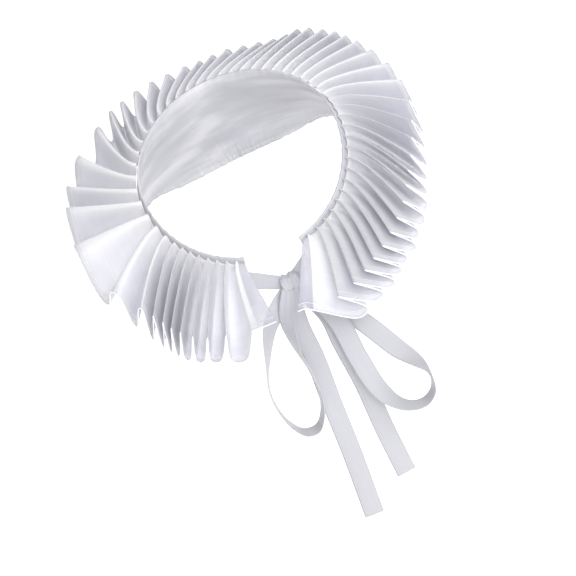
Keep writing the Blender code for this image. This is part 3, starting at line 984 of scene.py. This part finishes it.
knot_rows = []
knot_uvs = []
for ring in range(KNOT_RINGS + 1):
    along_x = 2 * ring / KNOT_RINGS - 1
    body = (1 - abs(along_x) ** KNOT_SHOULDER) ** KNOT_ROUNDING
    waist = 1 - KNOT_WAIST * math.cos(along_x * math.pi)
    scale = KNOT_FIT * max(body * waist, KNOT_MOUTH)
    points = []
    uvs = []
    for step in range(KNOT_ROUND + 1):
        around = 2 * math.pi * step / KNOT_ROUND
        bend = along_x * KNOT_CREASES + KNOT_CREASE_BEND * math.sin(around)
        crease = KNOT_CREASE * body * math.cos(bend)
        points.append(KNOT_CENTRE + Vector((
            along_x * KNOT_SIZE.x / 2,
            squared(math.cos(around)) * (KNOT_SIZE.y / 2 * scale - crease),
            squared(math.sin(around)) * (KNOT_SIZE.z / 2 * scale - crease))))
        uvs.append((around * KNOT_SIZE.z / 2, (along_x + 1) * KNOT_SIZE.x / 2))
    knot_rows.append(points)
    knot_uvs.append(uvs)
knot_mesh = bpy.data.meshes.new("bow_knot_wrap")
knot_shape = bmesh.new()
knot_layer = knot_shape.loops.layers.uv.new("cloth")
lattice = [[knot_shape.verts.new(point) for point in row[:-1]] for row in knot_rows]
for r in range(KNOT_RINGS):
    for c in range(KNOT_ROUND):
        spots = ((r, c), (r, c + 1), (r + 1, c + 1), (r + 1, c))
        face = knot_shape.faces.new([lattice[i][j % KNOT_ROUND] for i, j in spots])
        for loop, (i, j) in zip(face.loops, spots):
            loop[knot_layer].uv = knot_uvs[i][j]
bmesh.ops.recalc_face_normals(knot_shape, faces=knot_shape.faces)
knot_shape.to_mesh(knot_mesh)
knot_shape.free()
knot_mesh.shade_smooth()
knot_mesh.materials.append(ribbon_satin)
knot = bpy.data.objects.new("bow_knot_wrap", knot_mesh)
bpy.context.scene.collection.objects.link(knot)
knot_wall = knot.modifiers.new("Cloth", "SOLIDIFY")
knot_wall.thickness = RIBBON_CLOTH
knot_wall.offset = -1.0
applied_mesh(knot)
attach(knot, "root")
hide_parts("bow_knot")


# Stage
# A plain white floor well below the collar, which hangs as it is worn, three soft lights from the
# upper right, the front and the back, and a camera that is rolled so that the ribbons hang toward
# the lower right, as in the photograph.

FLOOR_BELOW = 0.62
FLOOR_SIZE = 12.0
FLOOR_GLOW = 0.6
Light = namedtuple("Light", "name place size power")
LIGHTS = [
    Light("light_upper_right", (0.85, -0.95, 1.0), 0.9, 9),
    Light("light_front", (0.25, -1.9, 1.0), 0.8, 19),
    Light("light_back", (0.3, 1.3, 1.2), 1.2, 4),
]
LIGHT_TARGET = (0, 0, -0.05)
SKY_POWER = 0.52
CAMERA_TURN = math.radians(25)
HANG_IN_PHOTO = (0.44, 0.90)
CAMERA_ROLL = math.atan2(*HANG_IN_PHOTO)
CAMERA_AWAY = 2.4
CAMERA_REACH = 50.0
PHOTO_SIZE = 576
PHOTO_STEP = 0.62 * MM
ORIGIN_IN_PHOTO = (238, 156)
SENSOR = 36.0

floor_mesh = bpy.data.meshes.new("floor")
half = FLOOR_SIZE / 2
corners = ((-half, -half), (half, -half), (half, half), (-half, half))
floor_mesh.from_pydata([(x, y, -FLOOR_BELOW) for x, y in corners], [], [(0, 1, 2, 3)])
floor_paint, tree, shader = plain_material("floor_paint", (0.95, 0.95, 0.95), 0.9)
shader.inputs["Emission Color"].default_value = (1.0, 1.0, 1.0, 1.0)
shader.inputs["Emission Strength"].default_value = FLOOR_GLOW
floor_mesh.materials.append(floor_paint)
floor = bpy.data.objects.new("floor", floor_mesh)
bpy.context.scene.collection.objects.link(floor)

for light in LIGHTS:
    lamp = bpy.data.lights.new(light.name, "AREA")
    lamp.shape = "SQUARE"
    lamp.size = light.size
    lamp.energy = light.power
    thing = bpy.data.objects.new(light.name, lamp)
    bpy.context.scene.collection.objects.link(thing)
    thing.location = light.place
    facing = Vector(LIGHT_TARGET) - Vector(light.place)
    thing.rotation_euler = facing.to_track_quat("-Z", "Y").to_euler()

world = bpy.data.worlds.new("studio")
world.use_nodes = True
world.node_tree.nodes["Background"].inputs["Color"].default_value = (1.0, 1.0, 1.0, 1.0)
world.node_tree.nodes["Background"].inputs["Strength"].default_value = SKY_POWER
bpy.context.scene.world = world
bpy.context.scene.view_settings.view_transform = "Standard"

right = Vector((1, 0, 0))
back = Vector((0, -math.cos(CAMERA_TURN), math.sin(CAMERA_TURN)))
up = back.cross(right)
image_x = right * math.cos(CAMERA_ROLL) - up * math.sin(CAMERA_ROLL)
image_y = right * math.sin(CAMERA_ROLL) + up * math.cos(CAMERA_ROLL)
middle_x = (PHOTO_SIZE / 2 - ORIGIN_IN_PHOTO[0]) * PHOTO_STEP
middle_y = (ORIGIN_IN_PHOTO[1] - PHOTO_SIZE / 2) * PHOTO_STEP
aim = image_x * middle_x + image_y * middle_y
lens = bpy.data.cameras.new("camera")
lens.sensor_width = SENSOR
lens.lens = SENSOR * CAMERA_AWAY / (PHOTO_SIZE * PHOTO_STEP)
lens.clip_end = CAMERA_REACH
camera = bpy.data.objects.new("camera", lens)
bpy.context.scene.collection.objects.link(camera)
turned = Matrix((image_x, image_y, back)).transposed().to_4x4()
camera.matrix_world = Matrix.Translation(aim + back * CAMERA_AWAY) @ turned
bpy.context.scene.camera = camera


bpy.context.view_layer.update()
